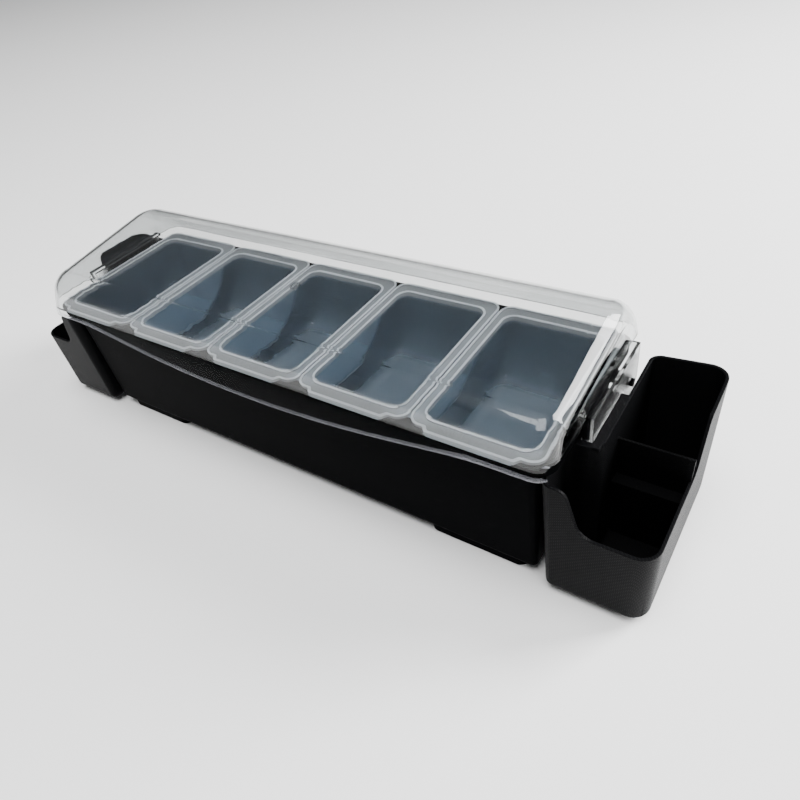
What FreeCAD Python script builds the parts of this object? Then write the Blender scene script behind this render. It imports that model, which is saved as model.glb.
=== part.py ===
import FreeCAD, Part
import math
import os
import Sketcher
from FreeCAD import Placement, Rotation, Vector

# Covered condiment dispenser: five lift-out trays in a deep tub, a hinged clear lid and
# a hanging caddy at each end.  Millimetres; X runs along the row of trays, the front is
# at -Y and the feet stand on Z = 0.  Heights named "drop" are measured down from the
# plane of the tray rims.

os.makedirs("parts", exist_ok=True)
doc = FreeCAD.newDocument("condiment_dispenser")

drivingSizes = [
    ("rim_height", 125.5),
    ("tray_count", 5),
    ("tray_land", 17),
    ("tray_gap", 1.4),
    ("tray_rim", 2.5),
    ("tray_rim_corner", 9.5),
    ("tray_rim_bite", 2.2),
    ("mouth_width", 78),
    ("mouth_length", 123),
    ("mouth_corner", 12),
    ("tray_depth", 50.5),
    ("tray_wall", 1.5),
    ("tray_side_lean", 0.045),
    ("tray_toe_lean", 0.045),
    ("tray_toe_radius", 13),
    ("scoop_lean", 0.4),
    ("scoop_radius", 54),
    ("tray_fit", 0.4),
    ("bead_width", 1.6),
    ("bead_rise", 0.9),
    ("tongue_inset", 15.8),
    ("tongue_reach", 1.5),
    ("tongue_step", 3),
    ("tongue_round", 2),
    ("tongue_lip", 4),
    ("tongue_lip_inset", 1.5),
    ("tongue_gap", 0.3),
    ("tub_seat", 4.6),
    ("tub_slack", 3.8),
    ("tub_wall", 2),
    ("tub_lean", 0.039),
    ("tub_corner", 8),
    ("tub_belly", 3),
    ("foot_rise", 9.5),
    ("foot_length", 81),
    ("foot_width", 20),
    ("foot_corner", 8),
    ("foot_edge", 1.2),
    ("foot_end_inset", 13.4),
    ("foot_side_inset", 7),
    ("flange_end", 9.5),
    ("flange_side", 6.3),
    ("flange_thick", 2.5),
    ("flange_corner", 14),
    ("flange_edge", 1),
    ("flange_lip", 8),
    ("lip_thick", 2),
    ("hanger_drop", 18.5),
    ("hanger_thick", 4),
    ("hanger_half", 24),
    ("hanger_slot", 5.2),
    ("hanger_bar", 9),
    ("hanger_corner", 2),
    ("hanger_root", 0.3),
    ("pivot_back", 44),
    ("pivot_drop", 20),
    ("boss_size", 10),
    ("boss_gap", 0.6),
    ("pin_size", 6),
    ("pin_show", 2),
    ("pin_fit", 0.075),
    ("lid_wall", 2.4),
    ("lid_gap", 4.4),
    ("lid_end_gap", 0.8),
    ("lid_end_lean", 0.079),
    ("skirt_top", 5.5),
    ("skirt_bend", 26),
    ("skirt_return", 5),
    ("front_slope", 0.37),
    ("brow_radius", 22),
    ("crown_rise", 33.6),
    ("crown_slope", 0.127),
    ("back_radius", 41),
    ("back_lean", 0.158),
    ("back_edge", 3),
    ("lid_edge_round", 15),
    ("arch_drop", 35),
    ("arch_end_inset", 55.6),
    ("arch_ends", 7),
    ("arch_radius", 900),
    ("arch_blend", 300),
    ("end_edge", 2),
    ("ledge_height", 4),
    ("apron_reach", 5.8),
    ("apron_front", 27),
    ("apron_clear", 0.8),
    ("apron_round", 3),
    ("lobe_half", 14),
    ("lobe_round", 13.8),
    ("caddy_gap", 1.5),
    ("caddy_reach", 66),
    ("caddy_front", 72),
    ("caddy_back", 75),
    ("caddy_bottom", 120),
    ("caddy_wall", 2.2),
    ("caddy_lean", 0.025),
    ("caddy_corner", 15),
    ("caddy_inner_corner", 8),
    ("caddy_base_round", 5.5),
    ("caddy_high", 12),
    ("caddy_low", 53),
    ("caddy_set_back", 20.6),
    ("caddy_jog", 29),
    ("caddy_shelf_thick", 2.5),
    ("caddy_shelf_back", 26),
    ("front_sweep_start", 16.6),
    ("front_sweep_end", 26.6),
    ("side_sweep_start", 20),
    ("side_sweep_end", 11),
    ("sweep_crest", 8),
    ("sweep_hollow", 12),
    ("hook_thick", 2.4),
    ("hook_drop", 4.5),
    ("hook_fit", 0.3),
    ("hook_side_fit", 2),
    ("hook_corner", 0.8),
    ("divider_low", 66),
    ("divider_high", 34),
    ("divider_front", 7),
    ("divider_step", 9),
    ("divider_thick", 2),
    ("sunk", 0.3),
    ("past", 5),
]

sheet = doc.addObject("Spreadsheet::Sheet", "Sizes")
for row, (name, number) in enumerate(drivingSizes, start=1):
    sheet.set("A%d" % row, name)
    sheet.set("B%d" % row, str(number))
    sheet.setAlias("B%d" % row, name)
doc.recompute()


# A size knows its number, for placing sketch geometry, and the expression that binds it.
class Size:
    def __init__(self, number, text):
        self.number = float(number)
        self.text = text

    def __add__(self, other):
        other = sized(other)
        return Size(self.number + other.number, "(%s + %s)" % (self.text, other.text))

    def __sub__(self, other):
        other = sized(other)
        return Size(self.number - other.number, "(%s - %s)" % (self.text, other.text))

    def __mul__(self, other):
        other = sized(other)
        return Size(self.number * other.number, "(%s * %s)" % (self.text, other.text))

    def __truediv__(self, other):
        other = sized(other)
        return Size(self.number / other.number, "(%s / %s)" % (self.text, other.text))

    def __radd__(self, other):
        return sized(other) + self

    def __rsub__(self, other):
        return sized(other) - self

    def __rmul__(self, other):
        return sized(other) * self

    def __neg__(self):
        return Size(-self.number, "(-1 * %s)" % self.text)


def sized(thing):
    if isinstance(thing, Size):
        return thing
    return Size(thing, "(%s)" % repr(thing))


def size(name):
    return Size(sheet.get(name), "Sizes.%s" % name)


def bind(thing, path, amount):
    thing.setExpression(path, sized(amount).text)


def originPlane(body, role):
    return [part for part in body.Origin.OriginFeatures if part.Role == role][0]


def attach(thing, body, role, offset):
    thing.AttachmentSupport = [(originPlane(body, role), "")]
    thing.MapMode = "FlatFace"
    thing.AttachmentOffset = Placement(Vector(0, 0, sized(offset).number), Rotation())
    bind(thing, ".AttachmentOffset.Base.z", offset)


def newBody(name):
    body = doc.addObject("PartDesign::Body", name)
    body.Label = name
    return body


def newSketch(body, name, role, offset=0):
    sketch = body.newObject("Sketcher::SketchObject", name)
    attach(sketch, body, role, offset)
    return sketch


def levelPlane(body, name, height):
    plane = body.newObject("PartDesign::Plane", name)
    attach(plane, body, "XY_Plane", height)
    return plane


def fixPoint(sketch, element, position, across, up):
    for kind, amount in (("DistanceX", across), ("DistanceY", up)):
        amount = sized(amount)
        spot = sketch.addConstraint(Sketcher.Constraint(kind, -1, 1, element, position, amount.number))
        bind(sketch, "Constraints[%d]" % spot, amount)


# A closed outline through corners given as (across, up, rounding); rounding 0 is sharp.
def addOutline(sketch, corners):
    corners = [(sized(across), sized(up), sized(rounding)) for across, up, rounding in corners]
    spots = [Vector(across.number, up.number, 0) for across, up, rounding in corners]
    count = len(corners)
    bends = []
    for index, (across, up, rounding) in enumerate(corners):
        here = spots[index]
        back = (spots[index - 1] - here).normalize()
        ahead = (spots[(index + 1) % count] - here).normalize()
        if rounding.number == 0:
            bends.append((here, here, None))
            continue
        half = back.getAngle(ahead) / 2
        reach = rounding.number / math.tan(half)
        middle = here + (back + ahead).normalize() * (rounding.number / math.sin(half))
        first = here + back * reach
        last = here + ahead * reach
        leftTurn = (ahead.x * back.y - ahead.y * back.x) > 0
        fromPoint, toPoint = (first, last) if leftTurn else (last, first)
        angles = [math.atan2(end.y - middle.y, end.x - middle.x) for end in (fromPoint, toPoint)]
        if angles[1] < angles[0]:
            angles[1] += 2 * math.pi
        circle = Part.Circle(middle, Vector(0, 0, 1), rounding.number)
        arc = sketch.addGeometry(Part.ArcOfCircle(circle, angles[0], angles[1]))
        spot = sketch.addConstraint(Sketcher.Constraint("Radius", arc, rounding.number))
        bind(sketch, "Constraints[%d]" % spot, rounding)
        bends.append((first, last, (arc, 1 if leftTurn else 2, 2 if leftTurn else 1)))
    lines = []
    for index in range(count):
        start = bends[index][1]
        end = bends[(index + 1) % count][0]
        lines.append(sketch.addGeometry(Part.LineSegment(start, end)))
    for index, (across, up, rounding) in enumerate(corners):
        corner = sketch.addGeometry(Part.Point(spots[index]), True)
        fixPoint(sketch, corner, 1, across, up)
        lineIn, lineOut = lines[index - 1], lines[index]
        arc = bends[index][2]
        if arc is None:
            sketch.addConstraint(Sketcher.Constraint("Coincident", lineIn, 2, corner, 1))
            sketch.addConstraint(Sketcher.Constraint("Coincident", lineOut, 1, corner, 1))
            continue
        sketch.addConstraint(Sketcher.Constraint("PointOnObject", corner, 1, lineIn))
        sketch.addConstraint(Sketcher.Constraint("PointOnObject", corner, 1, lineOut))
        sketch.addConstraint(Sketcher.Constraint("Tangent", lineIn, 2, arc[0], arc[1]))
        sketch.addConstraint(Sketcher.Constraint("Tangent", lineOut, 1, arc[0], arc[2]))


def addRectangle(sketch, left, right, low, high, rounding=0):
    addOutline(sketch, [(left, low, rounding), (right, low, rounding),
                        (right, high, rounding), (left, high, rounding)])


def addCircle(sketch, across, up, diameter):
    diameter = sized(diameter)
    middle = Vector(sized(across).number, sized(up).number, 0)
    ring = sketch.addGeometry(Part.Circle(middle, Vector(0, 0, 1), diameter.number / 2))
    fixPoint(sketch, ring, 3, across, up)
    spot = sketch.addConstraint(Sketcher.Constraint("Diameter", ring, diameter.number))
    bind(sketch, "Constraints[%d]" % spot, diameter)


def extrude(body, kind, name, sketch, length, bothWays=False, backwards=False):
    feature = body.newObject("PartDesign::" + kind, name)
    feature.Profile = sketch
    feature.Length = sized(length).number
    bind(feature, "Length", length)
    feature.SideType = "Symmetric" if bothWays else "One side"
    feature.Reversed = backwards
    doc.recompute()
    return feature


# A feature put on the edges or faces of the body so far that pass a test.
def dressUp(body, kind, name, items, word, chosen):
    base = body.Tip
    names = ["%s%d" % (word, index + 1) for index, item in enumerate(items) if chosen(item)]
    feature = body.newObject("PartDesign::" + kind, name)
    feature.Base = (base, names)
    return feature


def roundEdges(body, name, radius, chosen):
    feature = dressUp(body, "Fillet", name, body.Tip.Shape.Edges, "Edge", chosen)
    feature.Radius = radius.number
    bind(feature, "Radius", radius)
    doc.recompute()


def leanWalls(body, name, slope, plane):
    feature = dressUp(body, "Draft", name, body.Tip.Shape.Faces, "Face", upright)
    feature.NeutralPlane = (plane, [""])
    feature.Angle = math.degrees(math.atan(slope.number))
    feature.setExpression("Angle", "atan(%s)" % slope.text)
    feature.Reversed = True
    doc.recompute()


def hollow(body, name, wall, chosen):
    feature = dressUp(body, "Thickness", name, body.Tip.Shape.Faces, "Face", chosen)
    feature.Value = wall.number
    bind(feature, "Value", wall)
    feature.Reversed = True
    doc.recompute()


def mirror(body, name, originals, role):
    feature = body.newObject("PartDesign::Mirrored", name)
    feature.Originals = originals
    feature.MirrorPlane = (originPlane(body, role), [""])
    body.Tip = feature
    doc.recompute()


def upright(face):
    first, last, low, high = face.ParameterRange
    return abs(face.normalAt((first + last) / 2, (low + high) / 2).z) < 0.01


def allBelow(thing, height):
    return thing.BoundBox.ZMax < height.number + 0.01


def allAbove(thing, height):
    return thing.BoundBox.ZMin > height.number - 0.01


def besideMiddle(edge):
    return abs(edge.BoundBox.Center.x) > 1


rim = size("rim_height")
trayPitch = size("mouth_width") + size("tray_land")
rowHalf = size("tray_count") * trayPitch / 2
tubHalfLength = rowHalf - size("tub_seat")
tubHalfDepth = size("mouth_length") / 2 + size("tray_wall") + size("tub_wall") + size("tub_slack") / 2
flangeTop = rim - size("tray_rim")
flangeUnder = flangeTop - size("flange_thick")
flangeHalfLength = tubHalfLength + size("flange_end")
flangeHalfDepth = tubHalfDepth + size("flange_side")
pivotHeight = rim - size("pivot_drop")
hangerTop = rim - size("hanger_drop")
hangerWall = tubHalfLength - size("tub_lean") * size("hanger_drop")
hangerInside = hangerWall + size("hanger_slot")
apronInside = flangeHalfLength + size("apron_reach")
apronOutside = apronInside + size("lid_wall")


# Base tub: leaning open box with a turned-down flange, feet, hangers and hinge pins.
def makeBaseTub():
    body = newBody("base_tub")
    wall = size("tub_wall")
    walls = newSketch(body, "wall_outline", "XY_Plane", flangeTop)
    addRectangle(walls, -tubHalfLength, tubHalfLength, -tubHalfDepth, tubHalfDepth, size("tub_corner"))
    extrude(body, "Pad", "block", walls, flangeTop - size("foot_rise"), backwards=True)
    leanWalls(body, "wall_lean", size("tub_lean"), levelPlane(body, "wall_level", flangeTop))
    roundEdges(body, "belly", size("tub_belly"), lambda edge: allBelow(edge, size("foot_rise")))
    hollow(body, "tub_shell", wall, lambda face: allAbove(face, flangeTop))

    def addFlangeEdge(sketch, inset):
        addRectangle(sketch, inset - flangeHalfLength, flangeHalfLength - inset, inset - flangeHalfDepth,
                     flangeHalfDepth - inset, size("flange_corner") - inset)

    flange = newSketch(body, "flange_outline", "XY_Plane", flangeUnder)
    addFlangeEdge(flange, 0)
    seat = wall / 2
    addRectangle(flange, seat - tubHalfLength, tubHalfLength - seat, seat - tubHalfDepth,
                 tubHalfDepth - seat, size("tub_corner") - seat)
    extrude(body, "Pad", "flange", flange, size("flange_thick"))
    lip = newSketch(body, "lip_outline", "XY_Plane", flangeTop - size("flange_lip"))
    addFlangeEdge(lip, 0)
    addFlangeEdge(lip, size("lip_thick"))
    extrude(body, "Pad", "lip", lip, size("flange_lip") - size("flange_thick") / 2)

    def outsideTop(edge):
        middle = edge.BoundBox.Center
        beyondEnd = abs(middle.x) > (flangeHalfLength - size("flange_corner")).number
        beyondSide = abs(middle.y) > (flangeHalfDepth - size("flange_edge")).number
        return allAbove(edge, flangeTop) and (beyondEnd or beyondSide)

    roundEdges(body, "flange_round", size("flange_edge"), outsideTop)

    # Loop on each end wall that takes the hook of a caddy.
    slotHalf = size("hanger_half")
    bar = size("hanger_bar")
    hanger = newSketch(body, "hanger_outline", "XY_Plane", hangerTop)
    addRectangle(hanger, tubHalfLength - wall, hangerInside + bar, -slotHalf - bar / 2, slotHalf + bar / 2,
                 size("hanger_corner"))
    hangerPad = extrude(body, "Pad", "hanger", hanger, size("hanger_thick"), backwards=True)
    slot = newSketch(body, "hanger_slot", "XY_Plane", hangerTop)
    addRectangle(slot, hangerWall + size("hanger_root"), hangerInside, -slotHalf, slotHalf,
                 size("hanger_corner"))
    slotCut = extrude(body, "Pocket", "hanger_gap", slot, size("hanger_thick"))

    # Hinge boss and pin on each end wall, in line.
    bossRoot = tubHalfLength - size("tub_lean") * size("pivot_drop") - wall + size("sunk")
    boss = newSketch(body, "boss_circle", "YZ_Plane", bossRoot)
    addCircle(boss, size("pivot_back"), pivotHeight, size("boss_size"))
    bossPad = extrude(body, "Pad", "hinge_boss", boss, apronInside - size("boss_gap") - bossRoot)
    pin = newSketch(body, "pin_circle", "YZ_Plane", tubHalfLength)
    addCircle(pin, size("pivot_back"), pivotHeight, size("pin_size"))
    pinPad = extrude(body, "Pad", "hinge_pin", pin, apronOutside + size("pin_show") - tubHalfLength)
    mirror(body, "far_end", [hangerPad, slotCut, bossPad, pinPad], "YZ_Plane")

    # Four feet, solid blocks under the corners of the floor.
    footTop = size("foot_rise") + wall / 2
    feet = newSketch(body, "feet_outline", "XY_Plane", footTop)
    right = tubHalfLength - size("foot_end_inset")
    left = right - size("foot_length")
    back = tubHalfDepth - size("foot_side_inset")
    front = back - size("foot_width")
    for low, high in ((left, right), (-right, -left)):
        for near, far in ((front, back), (-back, -front)):
            addRectangle(feet, low, high, near, far, size("foot_corner"))
    extrude(body, "Pad", "feet", feet, footTop, backwards=True)
    roundEdges(body, "foot_round", size("foot_edge"), lambda edge: allBelow(edge, sized(0)))
    return body


# Condiment tray: scooped tub under a beaded rim with a finger tongue at the front.
def makeTray(number):
    body = newBody("condiment_tray_%d" % number)
    wall = size("tray_wall")
    depth = size("tray_depth") + wall
    front = tubHalfDepth - size("tub_wall") - size("tray_fit")
    back = size("mouth_length") + 2 * wall - front
    mouthHalf = size("mouth_width") / 2 + wall
    footHalf = mouthHalf - size("tray_side_lean") * depth
    faceOn = newSketch(body, "face_on", "XZ_Plane")
    addOutline(faceOn, [(-footHalf, -depth, 0), (footHalf, -depth, 0), (mouthHalf, 0, 0), (-mouthHalf, 0, 0)])
    extrude(body, "Pad", "block", faceOn, 2 * size("mouth_length"), bothWays=True)

    # The side view: steep toe, flat floor and the long scoop that rises to the back.
    sideOn = newSketch(body, "side_on", "YZ_Plane")
    addRectangle(sideOn, -1.5 * size("mouth_length"), 1.5 * size("mouth_length"), -2 * depth, depth)
    addOutline(sideOn, [(size("tray_toe_lean") * depth - front, -depth, size("tray_toe_radius")),
                        (back - size("scoop_lean") * depth, -depth, size("scoop_radius")),
                        (back, 0, 0),
                        (-front, 0, 0)])
    extrude(body, "Pocket", "side_cut", sideOn, 2 * size("mouth_width"), bothWays=True)
    roundEdges(body, "tub_round", size("mouth_corner") - wall,
               lambda edge: besideMiddle(edge) and not allAbove(edge, sized(0)))
    hollow(body, "tub_shell", wall, lambda face: allAbove(face, sized(0)))

    # The rim: flat plate round the mouth, with the tongue, and a raised bead at both edges.
    rimHalf = (trayPitch - size("tray_gap")) / 2
    tongueHalf = rimHalf - size("tongue_inset")
    rimEnd = flangeHalfDepth - size("tray_rim_bite")
    corner = size("tray_rim_corner")
    bend = size("tongue_round")
    tongueEnd = flangeHalfDepth + size("tongue_reach")

    def addRimEdge(sketch, inset):
        tongue = tongueHalf - inset
        shoulder = tongue + size("tongue_step")
        addOutline(sketch, [(inset - rimHalf, inset - rimEnd, corner - inset),
                            (-shoulder, inset - rimEnd, bend),
                            (-tongue, inset - tongueEnd, bend),
                            (tongue, inset - tongueEnd, bend),
                            (shoulder, inset - rimEnd, bend),
                            (rimHalf - inset, inset - rimEnd, corner - inset),
                            (rimHalf - inset, rimEnd - inset, corner - inset),
                            (inset - rimHalf, rimEnd - inset, corner - inset)])

    def addMouth(sketch, grow):
        halfWidth = size("mouth_width") / 2 + grow
        addRectangle(sketch, -halfWidth, halfWidth, wall - front - grow, back - wall + grow,
                     size("mouth_corner") - 2 * wall + grow)

    plate = newSketch(body, "rim_outline", "XY_Plane", -size("tray_rim"))
    addRimEdge(plate, 0)
    addMouth(plate, wall / 2)
    extrude(body, "Pad", "rim", plate, size("tray_rim"))
    channel = newSketch(body, "channel_outline", "XY_Plane")
    addRimEdge(channel, size("bead_width"))
    addMouth(channel, size("bead_width"))
    extrude(body, "Pocket", "channel", channel, size("bead_rise"))
    lip = newSketch(body, "tongue_lip", "XY_Plane", -size("tray_rim") / 2)
    lipHalf = tongueHalf - size("tongue_lip_inset")
    addRectangle(lip, -lipHalf, lipHalf, -tongueEnd, -flangeHalfDepth - size("tongue_gap"))
    extrude(body, "Pad", "tongue_turn_down", lip, size("tongue_lip") - size("tray_rim") / 2, backwards=True)

    place = trayPitch * (number - (size("tray_count") + 1) / 2)
    bind(body, ".Placement.Base.x", place)
    bind(body, ".Placement.Base.z", rim)
    return body


# Lid: one clear moulding with a sloping front, an arched skirt and a hinge lobe each end.
def makeLid():
    body = newBody("lid")
    wall = size("lid_wall")
    lidHalf = flangeHalfDepth + size("lid_gap") + wall
    endEdge = flangeHalfLength + size("lid_end_gap") + wall
    low = size("arch_drop")
    high = 2 * size("crown_rise")
    lean = size("lid_end_lean")
    faceOn = newSketch(body, "face_on", "XZ_Plane")
    lowHalf = endEdge + lean * (low + size("end_edge"))
    highHalf = endEdge - lean * (high - size("end_edge"))
    addOutline(faceOn, [(-lowHalf, rim - low, 0), (lowHalf, rim - low, 0),
                        (highHalf, rim + high, 0), (-highHalf, rim + high, 0)])
    extrude(body, "Pad", "block", faceOn, 3 * lidHalf, bothWays=True)

    # The end view: upright skirt, sloping front, rising crown and a wide round back.
    slope = size("front_slope")
    crown = size("crown_slope")
    browUp = ((size("crown_rise") - crown * (lidHalf - slope * size("skirt_top")))
              / (1 - crown * slope))
    browAcross = slope * (browUp + size("skirt_top")) - lidHalf
    backUp = ((size("crown_rise") + crown * (lidHalf + size("back_lean") * size("back_edge")))
              / (1 + crown * size("back_lean")))
    backAcross = lidHalf - size("back_lean") * (backUp - size("back_edge"))
    backFoot = lidHalf + size("back_lean") * (low + size("back_edge"))
    sideOn = newSketch(body, "side_on", "YZ_Plane")
    addRectangle(sideOn, -3 * lidHalf, 3 * lidHalf, rim - 2 * low, rim + 2 * high)
    addOutline(sideOn, [(-lidHalf, rim - low, 0), (backFoot, rim - low, 0),
                        (backAcross, rim + backUp, size("back_radius")),
                        (browAcross, rim + browUp, size("brow_radius")),
                        (-lidHalf, rim - size("skirt_top"), size("skirt_bend"))])
    extrude(body, "Pocket", "end_view_cut", sideOn, 3 * endEdge, bothWays=True)
    roundEdges(body, "end_round", size("lid_edge_round"),
               lambda edge: besideMiddle(edge) and not allBelow(edge, rim - low))
    hollow(body, "shell", wall, lambda face: allBelow(face, rim - low))

    # Lower edge: arched across the front, level round the ends and the back.
    arch = newSketch(body, "arch_outline", "XZ_Plane", lidHalf)
    reach = 2 * endEdge
    archHalf = endEdge - size("arch_end_inset")
    archEnds = rim - size("arch_ends")
    addOutline(arch, [(-reach, rim - 2 * low, 0), (reach, rim - 2 * low, 0), (reach, archEnds, 0),
                      (archHalf, archEnds, size("arch_blend")), (0, rim - low, size("arch_radius")),
                      (-archHalf, archEnds, size("arch_blend")), (-reach, archEnds, 0)])
    extrude(body, "Pocket", "arch_cut", arch, lidHalf, bothWays=True)
    edge = newSketch(body, "edge_outline", "YZ_Plane")
    skirtBack = size("skirt_return") - lidHalf
    apronFront = -size("apron_front")
    addOutline(edge, [(skirtBack, rim - 2 * low, 0), (2 * lidHalf, rim - 2 * low, 0),
                      (2 * lidHalf, rim + size("back_edge"), 0), (apronFront, rim + size("back_edge"), 0),
                      (apronFront, rim + size("end_edge"), 0),
                      (skirtBack, rim + size("end_edge"), size("skirt_return"))])
    extrude(body, "Pocket", "edge_cut", edge, 3 * endEdge, bothWays=True)

    # Apron and hinge lobe, stepped out from each end wall.
    apronFoot = hangerTop + size("caddy_shelf_thick") + size("apron_clear")
    ledgeTop = rim + size("ledge_height")
    lobe = size("lobe_half")
    pivot = size("pivot_back")
    turn = size("apron_round")
    apron = newSketch(body, "apron_outline", "YZ_Plane", apronInside)
    addOutline(apron, [(apronFront, ledgeTop, 0), (apronFront, apronFoot, turn), (pivot - lobe, apronFoot, turn),
                       (pivot - lobe, pivotHeight - lobe, size("lobe_round")),
                       (pivot + lobe, pivotHeight - lobe, size("lobe_round")), (pivot + lobe, ledgeTop, 0)])
    apronPad = extrude(body, "Pad", "apron", apron, wall)
    ledge = newSketch(body, "ledge_outline", "XY_Plane", ledgeTop)
    ledgeInside = endEdge - wall + size("sunk")
    addRectangle(ledge, ledgeInside, apronOutside, apronFront, pivot + lobe)
    ledgePad = extrude(body, "Pad", "ledge", ledge, wall, backwards=True)
    leg = newSketch(body, "leg_outline", "XZ_Plane", -apronFront)
    addRectangle(leg, ledgeInside, apronOutside, apronFoot, ledgeTop)
    legPad = extrude(body, "Pad", "leg", leg, wall, backwards=True)
    hole = newSketch(body, "hinge_circle", "YZ_Plane", apronInside - size("past"))
    addCircle(hole, pivot, pivotHeight, size("pin_size") + 2 * size("pin_fit"))
    holeCut = extrude(body, "Pocket", "hinge_hole", hole, wall + 2 * size("past"), backwards=True)
    mirror(body, "far_end", [apronPad, ledgePad, legPad, holeCut], "YZ_Plane")
    return body


# Caddy: L-shaped bin that hooks over the hanger, its rim sweeping down to the front.
def makeRightCaddy():
    body = newBody("right_caddy")
    wall = size("caddy_wall")
    top = rim - size("caddy_high")
    bottom = rim - size("caddy_bottom")
    inner = tubHalfLength + size("caddy_gap")
    outer = flangeHalfLength + size("caddy_reach")
    front = -size("caddy_front")
    back = size("caddy_back")
    setBack = inner + size("caddy_set_back")
    jog = -size("caddy_jog")
    small = size("caddy_inner_corner")
    large = size("caddy_corner")
    plan = newSketch(body, "plan", "XY_Plane", top)
    addOutline(plan, [(inner, front, small), (outer, front, large), (outer, back, large),
                      (setBack, back, small), (setBack, jog, small), (inner, jog, small)])
    extrude(body, "Pad", "block", plan, top - bottom, backwards=True)
    leanWalls(body, "wall_lean", size("caddy_lean"), levelPlane(body, "rim_level", top))
    roundEdges(body, "base_round", size("caddy_base_round"), lambda edge: allBelow(edge, bottom))
    hollow(body, "bin_shell", wall, lambda face: allAbove(face, top))

    # Rim: lower by a step along the inner side, swept down at the front and outer walls.
    low = rim - size("caddy_low")
    shelfTop = hangerTop + size("caddy_shelf_thick")
    above = top + size("past")
    inside = inner - size("past")
    outside = outer + size("past")
    rimCut = newSketch(body, "rim_outline", "XZ_Plane")
    addOutline(rimCut, [(inside, shelfTop, 0), (setBack + 2 * wall, shelfTop, 0), (outside, top, 0),
                        (outside, above, 0), (inside, above, 0)])
    extrude(body, "Pocket", "rim_cut", rimCut, 4 * back, bothWays=True)
    frontSweep = newSketch(body, "front_sweep_outline", "XZ_Plane", -front)
    addOutline(frontSweep, [(inside, above, 0), (inside, shelfTop, 0),
                            (inner + size("front_sweep_start"), shelfTop, size("sweep_crest")),
                            (inner + size("front_sweep_end"), low, size("sweep_hollow")),
                            (outside, low, 0), (outside, above, 0)])
    extrude(body, "Pocket", "front_sweep", frontSweep, 2 * large, bothWays=True)
    sideSweep = newSketch(body, "side_sweep_outline", "YZ_Plane", outer)
    before = front - size("past")
    addOutline(sideSweep, [(before, above, 0), (before, low, 0),
                           (size("side_sweep_end"), low, size("sweep_hollow")),
                           (size("side_sweep_start"), top, size("sweep_crest")),
                           (back / 2, top, 0), (back / 2, above, 0)])
    extrude(body, "Pocket", "side_sweep", sideSweep, 2 * large, bothWays=True)

    # Shelf that lies on the hanger bar, and the hook behind the bar.
    hookOutside = hangerInside - size("hook_fit")
    hookInside = hookOutside - size("hook_thick")
    hookHalf = size("hanger_half") - size("hook_side_fit")
    shelf = newSketch(body, "shelf_outline", "XY_Plane", shelfTop)
    addRectangle(shelf, hookInside, setBack + wall / 2, jog - wall / 2, size("caddy_shelf_back"),
                 size("hook_corner"))
    extrude(body, "Pad", "shelf", shelf, size("caddy_shelf_thick"), backwards=True)
    hookTop = hangerTop + size("caddy_shelf_thick") / 2
    hook = newSketch(body, "hook_outline", "XY_Plane", hookTop)
    addRectangle(hook, hookInside, hookOutside, -hookHalf, hookHalf, size("hook_corner"))
    extrude(body, "Pad", "hook", hook, hookTop - hangerTop + size("hook_drop"), backwards=True)

    # Stepped divider across the bin, sunk half way into its leaning walls.
    thick = size("divider_thick")
    stepHeight = rim - size("divider_low")
    dividerFront = -size("divider_front")
    dividerBack = dividerFront + size("divider_step")

    def leanAt(height):
        return size("caddy_lean") * (top - height) + wall / 2

    def addPlate(name, near, lowEnd, highEnd):
        plate = newSketch(body, name + "_outline", "XZ_Plane", -near)
        addOutline(plate, [(setBack + leanAt(lowEnd), lowEnd, 0), (outer - leanAt(lowEnd), lowEnd, 0),
                           (outer - leanAt(highEnd), highEnd, 0), (setBack + leanAt(highEnd), highEnd, 0)])
        extrude(body, "Pad", name, plate, thick, backwards=True)

    addPlate("divider_wall", dividerFront, bottom + wall / 2, stepHeight)
    addPlate("divider_crest", dividerBack, stepHeight - thick, rim - size("divider_high"))
    step = newSketch(body, "divider_step_outline", "XY_Plane", stepHeight)
    addRectangle(step, setBack + leanAt(stepHeight), outer - leanAt(stepHeight), dividerFront,
                 dividerBack + thick)
    extrude(body, "Pad", "divider_step", step, thick, backwards=True)
    return body


def makeLeftCaddy(rightCaddy):
    copy = doc.addObject("Part::Mirroring", "left_caddy")
    copy.Label = "left_caddy"
    copy.Source = rightCaddy
    copy.Normal = Vector(1, 0, 0)
    return copy


pieces = [makeBaseTub()]
for number in range(1, int(sheet.get("tray_count")) + 1):
    pieces.append(makeTray(number))
pieces.append(makeLid())
rightCaddy = makeRightCaddy()
pieces.append(rightCaddy)
pieces.append(makeLeftCaddy(rightCaddy))
doc.recompute()

for thing in doc.Objects:
    if "Invalid" in thing.State or "Error" in thing.State:
        raise RuntimeError("%s is %s" % (thing.Name, thing.State))
for piece in pieces:
    if piece.Shape.isNull() or not piece.Shape.isValid() or len(piece.Shape.Solids) != 1:
        raise RuntimeError("%s has no single valid solid" % piece.Label)
for piece in pieces:
    piece.Shape.exportStep("parts/%s.step" % piece.Label)
    print(piece.Label, round(piece.Shape.Volume), piece.Shape.BoundBox)
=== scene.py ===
import math

import bmesh
import bpy
from mathutils import Matrix, Vector

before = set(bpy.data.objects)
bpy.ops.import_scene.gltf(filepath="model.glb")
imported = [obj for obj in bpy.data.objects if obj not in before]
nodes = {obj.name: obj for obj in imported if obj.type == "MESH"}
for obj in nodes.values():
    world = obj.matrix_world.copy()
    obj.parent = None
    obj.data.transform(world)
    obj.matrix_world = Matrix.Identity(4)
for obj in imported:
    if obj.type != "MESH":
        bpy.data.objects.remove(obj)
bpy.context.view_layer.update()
print("frame loaded:", len(nodes), "nodes")


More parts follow.
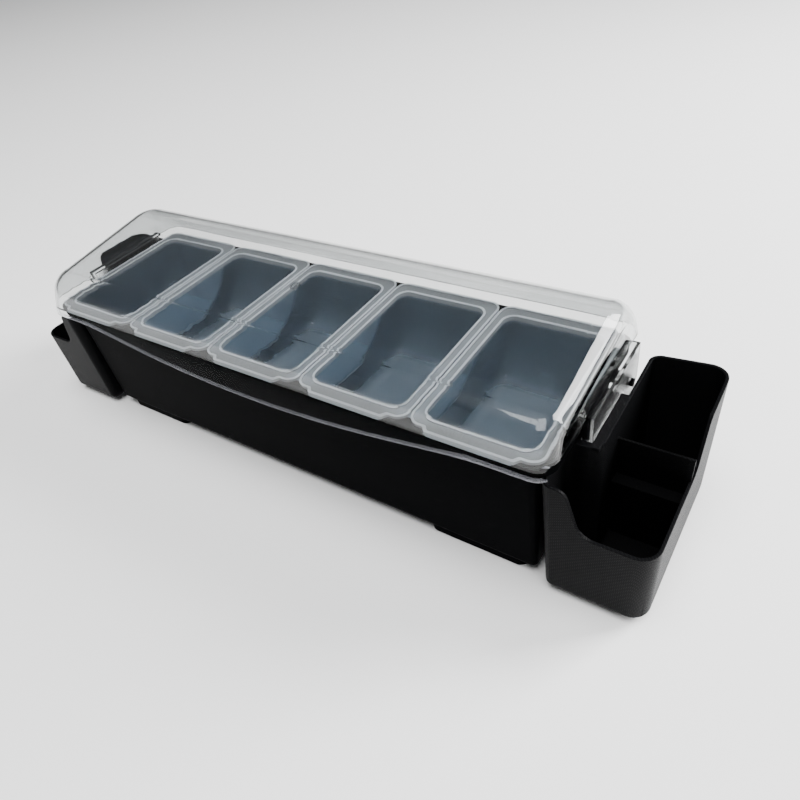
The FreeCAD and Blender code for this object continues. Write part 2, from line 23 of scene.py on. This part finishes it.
class Wire:
    # wraps one output socket, so masks and noises can be added and multiplied
    def __init__(self, tree, socket):
        self.tree = tree
        self.socket = socket

    def maths(self, operation, other, flipped=False):
        first, second = (other, self) if flipped else (self, other)
        return addNode(self.tree, "ShaderNodeMath", {"operation": operation}, {0: first, 1: second})

    def alone(self, operation):
        return addNode(self.tree, "ShaderNodeMath", {"operation": operation}, {0: self})

    def __add__(self, other):
        return self.maths("ADD", other)

    def __radd__(self, other):
        return self.maths("ADD", other, True)

    def __sub__(self, other):
        return self.maths("SUBTRACT", other)

    def __rsub__(self, other):
        return self.maths("SUBTRACT", other, True)

    def __mul__(self, other):
        return self.maths("MULTIPLY", other)

    def __rmul__(self, other):
        return self.maths("MULTIPLY", other, True)


def addNode(tree, kind, settings=None, inputs=None, output=0):
    node = tree.nodes.new(kind)
    for name, setting in (settings or {}).items():
        setattr(node, name, setting)
    for name, given in (inputs or {}).items():
        if isinstance(given, Wire):
            tree.links.new(given.socket, node.inputs[name])
        else:
            node.inputs[name].default_value = given
    return Wire(tree, node.outputs[output])


def smoothStep(wire, low, high):
    return addNode(wire.tree, "ShaderNodeMapRange", {"interpolation_type": "SMOOTHSTEP"},
                   {"Value": wire, "From Min": low, "From Max": high, "To Min": 0.0, "To Max": 1.0})


def band(wire, middle, half, soft):
    # 1 inside a band of the given half width, fading to 0 over the soft distance
    away = (wire - middle).alone("ABSOLUTE")
    return 1.0 - smoothStep(away, half, half + soft)


def mixColour(tree, factor, first, second):
    return addNode(tree, "ShaderNodeMix", {"data_type": "RGBA"}, {"Factor": factor, 6: first, 7: second}, 2)


def mixShader(tree, factor, first, second):
    return addNode(tree, "ShaderNodeMixShader", None, {0: factor, 1: first, 2: second})


def principled(tree, inputs):
    return addNode(tree, "ShaderNodeBsdfPrincipled", None, inputs)


def noise(tree, coords, scale, detail, stretch=None):
    if stretch:
        coords = addNode(tree, "ShaderNodeMapping", None, {"Vector": coords, "Scale": stretch})
    return addNode(tree, "ShaderNodeTexNoise", None, {"Vector": coords, "Scale": scale, "Detail": detail})


def swing(wire, amount):
    # a noise lies around 0.5, so this adds as much as it takes away
    return (wire - 0.5) * amount


def newMaterial(name):
    material = bpy.data.materials.new(name)
    material.use_nodes = True
    tree = material.node_tree
    tree.nodes.clear()
    coords = addNode(tree, "ShaderNodeTexCoord", None, None, 3)  # Object coordinates
    return material, tree, coords


def splitAxes(tree, coords):
    split = tree.nodes.new("ShaderNodeSeparateXYZ")
    tree.links.new(coords.socket, split.inputs[0])
    return [Wire(tree, split.outputs[axis]) for axis in range(3)]


def closeTree(tree, shader, kind="ShaderNodeOutputMaterial"):
    out = tree.nodes.new(kind)
    tree.links.new(shader.socket, out.inputs["Surface"])


def bumpOf(tree, height, strength, distance, below=None):
    inputs = {"Strength": strength, "Distance": distance, "Height": height}
    if below:
        inputs["Normal"] = below
    return addNode(tree, "ShaderNodeBump", None, inputs)


# Black moulded plastic: the smooth tub and the caddies, which have a woven grain outside and a dull inside that is
# also painted darker as shade.
moulded = {"cloudScale": 18.0, "cloudDetail": 4.0, "cloudSwing": 0.12, "grainDetail": 2.0, "grainSwing": 0.10,
           "grainStrength": 0.5, "scratchScale": 60.0, "scratchDetail": 5.0, "scratchStretch": (1.0, 9.0, 9.0),
           "wearFrom": 0.62, "wearTo": 0.80, "wearTint": 0.35, "wearDull": 0.08, "edgeSamples": 4, "ior": 1.48}
blackLook = {
    "tub": {"colour": (0.0016, 0.0017, 0.0020), "scuff": (0.010, 0.010, 0.011), "gloss": 0.30,
            "specular": 0.005, "grainScale": 900.0, "grainDepth": 0.00003, "edge": 0.0006},
    "caddy": {"colour": (0.0040, 0.0041, 0.0045), "scuff": (0.016, 0.016, 0.017), "gloss": 0.36,
              "specular": 0.028, "grainScale": 1300.0, "grainDepth": 0.00006, "edge": 0.0009,
              "weave": {"pitch": 0.0016, "slant": 0.6, "depth": 0.00012, "strength": 0.6},
              "inside": {"nearEnd": 0.2575, "farEnd": 0.3025, "soft": 0.001, "middle": 0.0015, "half": 0.0665,
                         "dull": 0.25, "share": 0.6, "colour": (0.001, 0.001, 0.001)}},
}


def blackPlastic(name, look):
    material, tree, coords = newMaterial(name)
    across, deep, up = splitAxes(tree, coords)
    cloud = noise(tree, coords, moulded["cloudScale"], moulded["cloudDetail"])
    grain = noise(tree, coords, look["grainScale"], moulded["grainDetail"])
    scratches = noise(tree, coords, moulded["scratchScale"], moulded["scratchDetail"], moulded["scratchStretch"])
    wear = smoothStep(scratches, moulded["wearFrom"], moulded["wearTo"])
    colour = mixColour(tree, wear * moulded["wearTint"], (*look["colour"], 1), (*look["scuff"], 1))
    roughness = (look["gloss"] + swing(cloud, moulded["cloudSwing"]) + swing(grain, moulded["grainSwing"])
                 + wear * moulded["wearDull"])
    softEdge = addNode(tree, "ShaderNodeBevel", {"samples": moulded["edgeSamples"]}, {"Radius": look["edge"]})
    normal = bumpOf(tree, grain, moulded["grainStrength"], look["grainDepth"], softEdge)
    # painted shade: inside the caddy the colour is mixed towards near black, and the surface is also made duller
    if "inside" in look:
        part = look["inside"]
        reach = across.alone("ABSOLUTE")
        inside = (1.0 - smoothStep(reach, part["farEnd"], part["farEnd"] + part["soft"]))
        inside = inside * smoothStep(reach, part["nearEnd"], part["nearEnd"] + part["soft"])
        inside = inside * band(deep, part["middle"], part["half"], part["soft"])
        roughness = roughness + inside * part["dull"]
        colour = mixColour(tree, inside * part["share"], colour, (*part["colour"], 1))
    if "weave" in look:
        part = look["weave"]
        turns = 2 * math.pi / part["pitch"]
        rows = (up * turns).alone("SINE")
        columns = ((across + deep) * turns * part["slant"]).alone("SINE")
        normal = bumpOf(tree, rows * columns, part["strength"], part["depth"], normal)
    closeTree(tree, principled(tree, {"Base Color": colour, "Roughness": roughness, "Normal": normal,
                                      "Specular IOR Level": look["specular"], "IOR": moulded["ior"]}))
    return material


# Frosted trays: see-through walls with a milky bloom that thickens on the floor, the rim and the bead.
trayLook = {"haze": (0.62, 0.78, 0.97), "rimTint": (0.86, 0.90, 0.95), "clear": (0.84, 0.90, 0.96),
            "gloss": 0.045, "ior": 1.24, "specular": 0.12,
            "wallHaze": 0.12, "floorHaze": 0.05, "rimHaze": 0.32, "beadHaze": 0.85,
            "rimLevel": 0.1215, "rimSoft": 0.002, "beadLevel": 0.12505, "beadSoft": 0.0002,
            "floorLevel": 0.079, "floorSoft": 0.010, "floorDull": 0.26,
            "cloudScale": 26.0, "cloudDetail": 4.0, "cloudHaze": 0.03, "cloudSwing": 0.06,
            "fineScale": 420.0, "fineDetail": 2.0, "fineSwing": 0.03, "fineDepth": 0.000001,
            "flowScale": 30.0, "flowDetail": 4.0, "flowStretch": (1.0, 0.25, 1.0), "flowDepth": 0.00006,
            "bumpStrength": 0.3}


def frostedPlastic(name, look):
    material, tree, coords = newMaterial(name)
    up = splitAxes(tree, coords)[2]
    cloud = noise(tree, coords, look["cloudScale"], look["cloudDetail"])
    fine = noise(tree, coords, look["fineScale"], look["fineDetail"])
    flow = noise(tree, coords, look["flowScale"], look["flowDetail"], look["flowStretch"])
    nearRim = smoothStep(up, look["rimLevel"] - look["rimSoft"], look["rimLevel"] + look["rimSoft"])
    onBead = smoothStep(up, look["beadLevel"] - look["beadSoft"], look["beadLevel"] + look["beadSoft"])
    onFloor = 1.0 - smoothStep(up, look["floorLevel"], look["floorLevel"] + look["floorSoft"])
    haze = (look["wallHaze"] + nearRim * (look["rimHaze"] - look["wallHaze"])
            + onBead * (look["beadHaze"] - look["rimHaze"]) + swing(cloud, look["cloudHaze"])
            + onFloor * look["floorHaze"])
    roughness = (look["gloss"] + swing(cloud, look["cloudSwing"]) + swing(fine, look["fineSwing"])
                 + onFloor * look["floorDull"])
    normal = bumpOf(tree, flow, look["bumpStrength"], look["flowDepth"],
                    bumpOf(tree, fine, look["bumpStrength"], look["fineDepth"]))
    shared = {"Roughness": roughness, "IOR": look["ior"], "Specular IOR Level": look["specular"], "Normal": normal}
    clear = principled(tree, {"Base Color": (*look["clear"], 1), "Transmission Weight": 1.0, **shared})
    bloom = mixColour(tree, nearRim, (*look["haze"], 1), (*look["rimTint"], 1))
    milky = principled(tree, {"Base Color": bloom, **shared})
    closeTree(tree, mixShader(tree, haze, clear, milky))
    return material


# Clear lid: polished and faintly wavy, rippled along the brow, with a round gate mark on the crown, a back
# tinted greyer in streaks as painted shade, duller hinge lobes and a painted highlight along the arched lower edge of
# its front.
lidLook = {"tint": (0.77, 0.785, 0.785), "rearShadeTint": (0.60, 0.62, 0.62), "gloss": 0.010,
           "crownIor": 1.50, "skirtIor": 1.03, "skirtTop": 0.1244, "skirtSoft": 0.0006,
           "skirtFront": -0.066, "skirtBack": -0.064,
           "flowScale": 9.0, "flowDetail": 3.0, "flowStretch": (1.0, 4.0, 4.0), "flowSwing": 0.01, "flowDepth": 0.0004,
           "streakScale": 40.0, "streakDetail": 3.0, "streakStretch": (0.15, 1.0, 1.0), "streakDepth": 0.0002,
           "waveStrength": 0.25,
           "scratchScale": 150.0, "scratchDetail": 4.0, "scratchStretch": (1.0, 14.0, 14.0),
           "marksFrom": 0.60, "marksTo": 0.78, "marksDull": 0.05,
           "lobeNear": 0.2455, "lobeFar": 0.2475, "lobeTop": 0.122, "lobeFade": 0.130, "lobeDull": 0.22,
           "rearFrom": 0.040, "rearTo": 0.062, "rearStreakFrom": 0.30, "rearStreakTo": 0.62}
gateLook = {"across": 0.004, "deep": -0.006, "radius": 0.0034, "half": 0.0002, "soft": 0.0006,
            "dot": 0.0006, "dotFade": 0.0014, "crownFrom": 0.13, "crownTo": 0.14, "depth": 0.0004}
browLook = {"middle": -0.064, "half": 0.008, "soft": 0.004, "scale": 200.0, "detail": 0.0,
            "stretch": (0.05, 1.0, 1.0), "strength": 0.6, "depth": 0.0003}
archLook = {"foot": 0.0905, "slope": 0.1474, "bend": 0.1316, "radius": 0.9, "ends": 0.1185,
            "low": 0.0006, "high": 0.0016, "front": -0.072, "back": -0.068,
            "paintedEdgeHighlight": 0.16, "colour": (0.74, 0.74, 0.82), "gloss": 0.3}


def clearPlastic(name, look):
    material, tree, coords = newMaterial(name)
    across, deep, up = splitAxes(tree, coords)
    sideways = across.alone("ABSOLUTE")
    flow = noise(tree, coords, look["flowScale"], look["flowDetail"], look["flowStretch"])
    streaks = noise(tree, coords, look["streakScale"], look["streakDetail"], look["streakStretch"])
    scratches = noise(tree, coords, look["scratchScale"], look["scratchDetail"], look["scratchStretch"])
    marks = smoothStep(scratches, look["marksFrom"], look["marksTo"])
    onLobe = smoothStep(sideways, look["lobeNear"], look["lobeFar"])
    onLobe = onLobe * (1.0 - smoothStep(up, look["lobeTop"], look["lobeFade"]))
    roughness = (look["gloss"] + marks * look["marksDull"] + swing(flow, look["flowSwing"])
                 + onLobe * look["lobeDull"])
    normal = bumpOf(tree, flow, look["waveStrength"], look["flowDepth"],
                    bumpOf(tree, streaks, look["waveStrength"], look["streakDepth"]))
    ripples = noise(tree, coords, browLook["scale"], browLook["detail"], browLook["stretch"])
    ripples = ripples * band(deep, browLook["middle"], browLook["half"], browLook["soft"])
    normal = bumpOf(tree, ripples, browLook["strength"], browLook["depth"], normal)
    normal = bumpOf(tree, gateRing(across, deep, up), 1.0, gateLook["depth"], normal)
    # painted shade: the back of the lid is tinted greyer, in streaks
    rearShade = smoothStep(deep, look["rearFrom"], look["rearTo"])
    rearShade = rearShade * smoothStep(streaks, look["rearStreakFrom"], look["rearStreakTo"])
    tint = mixColour(tree, rearShade, (*look["tint"], 1), (*look["rearShadeTint"], 1))
    crown, skirt = [principled(tree, {"Base Color": tint, "Roughness": roughness, "Transmission Weight": 1.0,
                                      "IOR": look[ior], "Normal": normal}) for ior in ("crownIor", "skirtIor")]
    onSkirt = 1.0 - smoothStep(up, look["skirtTop"], look["skirtTop"] + look["skirtSoft"])
    onSkirt = onSkirt * (1.0 - smoothStep(deep, look["skirtFront"], look["skirtBack"]))
    shader = mixShader(tree, onSkirt, crown, skirt)
    # painted highlight: a pale opaque shader is mixed in along the arched lower edge of the front
    highlightShader = principled(tree, {"Base Color": (*archLook["colour"], 1), "Roughness": archLook["gloss"]})
    paintedEdgeHighlight = archEdge(sideways, deep, up) * archLook["paintedEdgeHighlight"]
    closeTree(tree, mixShader(tree, paintedEdgeHighlight, shader, highlightShader))
    return material


def gateRing(across, deep, up):
    offX = across - gateLook["across"]
    offY = deep - gateLook["deep"]
    away = (offX * offX + offY * offY).alone("SQRT")
    ring = band(away, gateLook["radius"], gateLook["half"], gateLook["soft"])
    ring = ring + (1.0 - smoothStep(away, gateLook["dot"], gateLook["dotFade"]))
    return ring * smoothStep(up, gateLook["crownFrom"], gateLook["crownTo"])


def archEdge(sideways, deep, up):
    # the edge is two slopes joined by an arc in the middle, and level at both ends
    bend = (archLook["bend"] - sideways).maths("MAXIMUM", 0.0)
    arch = archLook["foot"] + sideways * archLook["slope"] + bend * bend * (0.5 / archLook["radius"])
    above = up - arch.maths("MINIMUM", archLook["ends"])
    near = 1.0 - smoothStep(above, archLook["low"], archLook["high"])
    return near * (1.0 - smoothStep(deep, archLook["front"], archLook["back"]))


dressing = [
    (blackPlastic("satinBlackTub", blackLook["tub"]), ["base_tub"]),
    (blackPlastic("grainedBlackCaddy", blackLook["caddy"]), ["left_caddy", "right_caddy"]),
    (frostedPlastic("frostedTray", trayLook), ["condiment_tray_%d" % number for number in range(1, 6)]),
    (clearPlastic("clearLid", lidLook), ["lid"]),
]
for material, names in dressing:
    for name in names:
        slots = nodes[name].data.materials
        slots.clear()
        slots.append(material)
print("materials done")

floorLook = {"size": 14.0, "colour": (0.94, 0.94, 0.94), "dull": 0.55, "specular": 0.1,
             "patchScale": 1.5, "patchDetail": 2.0, "patchDull": 0.1}

floorShape = bmesh.new()
bmesh.ops.create_grid(floorShape, x_segments=1, y_segments=1, size=floorLook["size"] / 2)
floorMesh = bpy.data.meshes.new("floor")
floorShape.to_mesh(floorMesh)
floorShape.free()
floor = bpy.data.objects.new("floor", floorMesh)
bpy.context.scene.collection.objects.link(floor)
floorMaterial, floorTree, floorCoords = newMaterial("paleFloor")
floorPatch = noise(floorTree, floorCoords, floorLook["patchScale"], floorLook["patchDetail"])
closeTree(floorTree, principled(floorTree, {"Base Color": (*floorLook["colour"], 1),
                                            "Roughness": floorLook["dull"] + floorPatch * floorLook["patchDull"],
                                            "Specular IOR Level": floorLook["specular"]}))
floorMesh.materials.append(floorMaterial)

# The room is dim at the height that the crown of the lid mirrors, and brighter low down and overhead.
roomLook = {"colour": (0.97, 0.985, 1.0), "horizon": 0.24, "horizonFrom": 0.10, "horizonTo": 0.36, "dim": 0.11,
            "zenith": 1.0, "zenithFrom": 0.84, "zenithTo": 0.98}

world = bpy.data.worlds.new("studio")
world.use_nodes = True
worldTree = world.node_tree
worldTree.nodes.clear()
worldUp = splitAxes(worldTree, addNode(worldTree, "ShaderNodeTexCoord"))[2]
low = 1.0 - smoothStep(worldUp, roomLook["horizonFrom"], roomLook["horizonTo"])
high = smoothStep(worldUp, roomLook["zenithFrom"], roomLook["zenithTo"])
strength = (low * (roomLook["horizon"] - roomLook["dim"]) + high * (roomLook["zenith"] - roomLook["dim"])
            + roomLook["dim"])
background = addNode(worldTree, "ShaderNodeBackground", None,
                     {"Color": (*roomLook["colour"], 1), "Strength": strength})
closeTree(worldTree, background, "ShaderNodeOutputWorld")
bpy.context.scene.world = world

# The window makes the white band on the lid's right end, and the top lamp lights the floor and the trays.
lamps = {
    "windowRight": {"at": (1.40, 1.30, 1.05), "aim": (0.2, 0.0, 0.1), "size": (0.8, 1.4), "power": 110.0,
                    "throughLid": False, "mirrored": True},
    "overhead": {"at": (0.5, -0.7, 4.2), "aim": (0.0, 0.0, 0.1), "size": (3.0, 3.0), "power": 320.0,
                 "throughLid": True, "mirrored": False},
}
for name, lamp in lamps.items():
    light = bpy.data.lights.new(name, "AREA")
    light.shape = "RECTANGLE"
    light.size, light.size_y = lamp["size"]
    light.energy = lamp["power"]
    holder = bpy.data.objects.new(name, light)
    away = (Vector(lamp["at"]) - Vector(lamp["aim"])).normalized()
    holder.visible_transmission = lamp["throughLid"]
    holder.visible_glossy = lamp["mirrored"]
    holder.matrix_world = Matrix.Translation(lamp["at"]) @ away.to_track_quat("Z", "Y").to_matrix().to_4x4()
    bpy.context.scene.collection.objects.link(holder)

view = {"place": (0.34874, -0.32015, 0.41430), "turn": (49.492, 7.850, 33.146), "lens": 30.291,
        "sensor": 36.0, "nearest": 0.01}
cameraData = bpy.data.cameras.new("photoView")
cameraData.sensor_width = view["sensor"]
cameraData.lens = view["lens"]
cameraData.clip_start = view["nearest"]
camera = bpy.data.objects.new("photoView", cameraData)
camera.location = view["place"]
camera.rotation_euler = [math.radians(angle) for angle in view["turn"]]
bpy.context.scene.collection.objects.link(camera)
bpy.context.scene.camera = camera
print("studio done")
